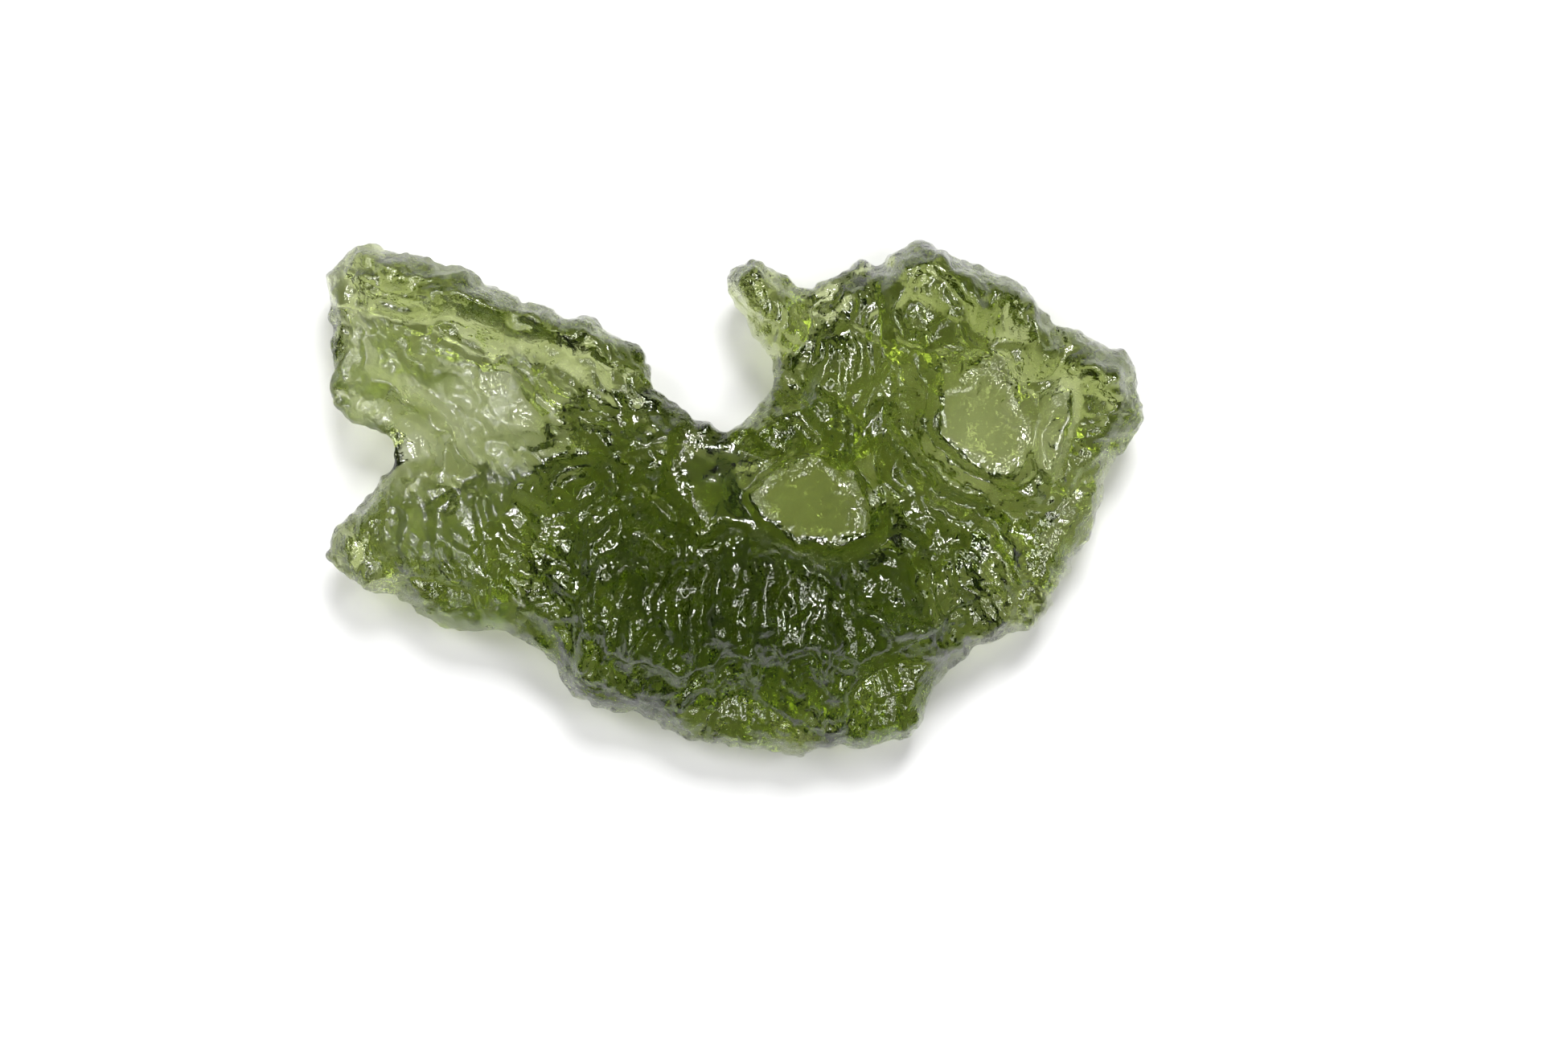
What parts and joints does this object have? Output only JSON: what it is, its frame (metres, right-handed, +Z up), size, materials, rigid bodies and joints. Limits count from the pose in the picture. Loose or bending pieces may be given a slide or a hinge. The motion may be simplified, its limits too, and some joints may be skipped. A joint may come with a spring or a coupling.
{
  "type": "moldavite",
  "caption": "Natural green glass stone with a broad two-pointed wing, a deep rounded notch, a comb-shaped right end and a scooped, fluted surface; lies on a small flat spot",
  "frame": {"origin": "on the floor under the middle of the stone's outline", "axes": "+X along the longest extent, from the two-pointed wing to the comb; +Y towards the open side of the notch; +Z up, the shortest extent"},
  "size_m": [0.032, 0.02, 0.0074],
  "materials": {
    "glass": "clear green natural glass, glossy on its flutes and finely etched between them"
  },
  "bodies": {
    "root": {"moldavite": "glass"}
  },
  "joints": []
}
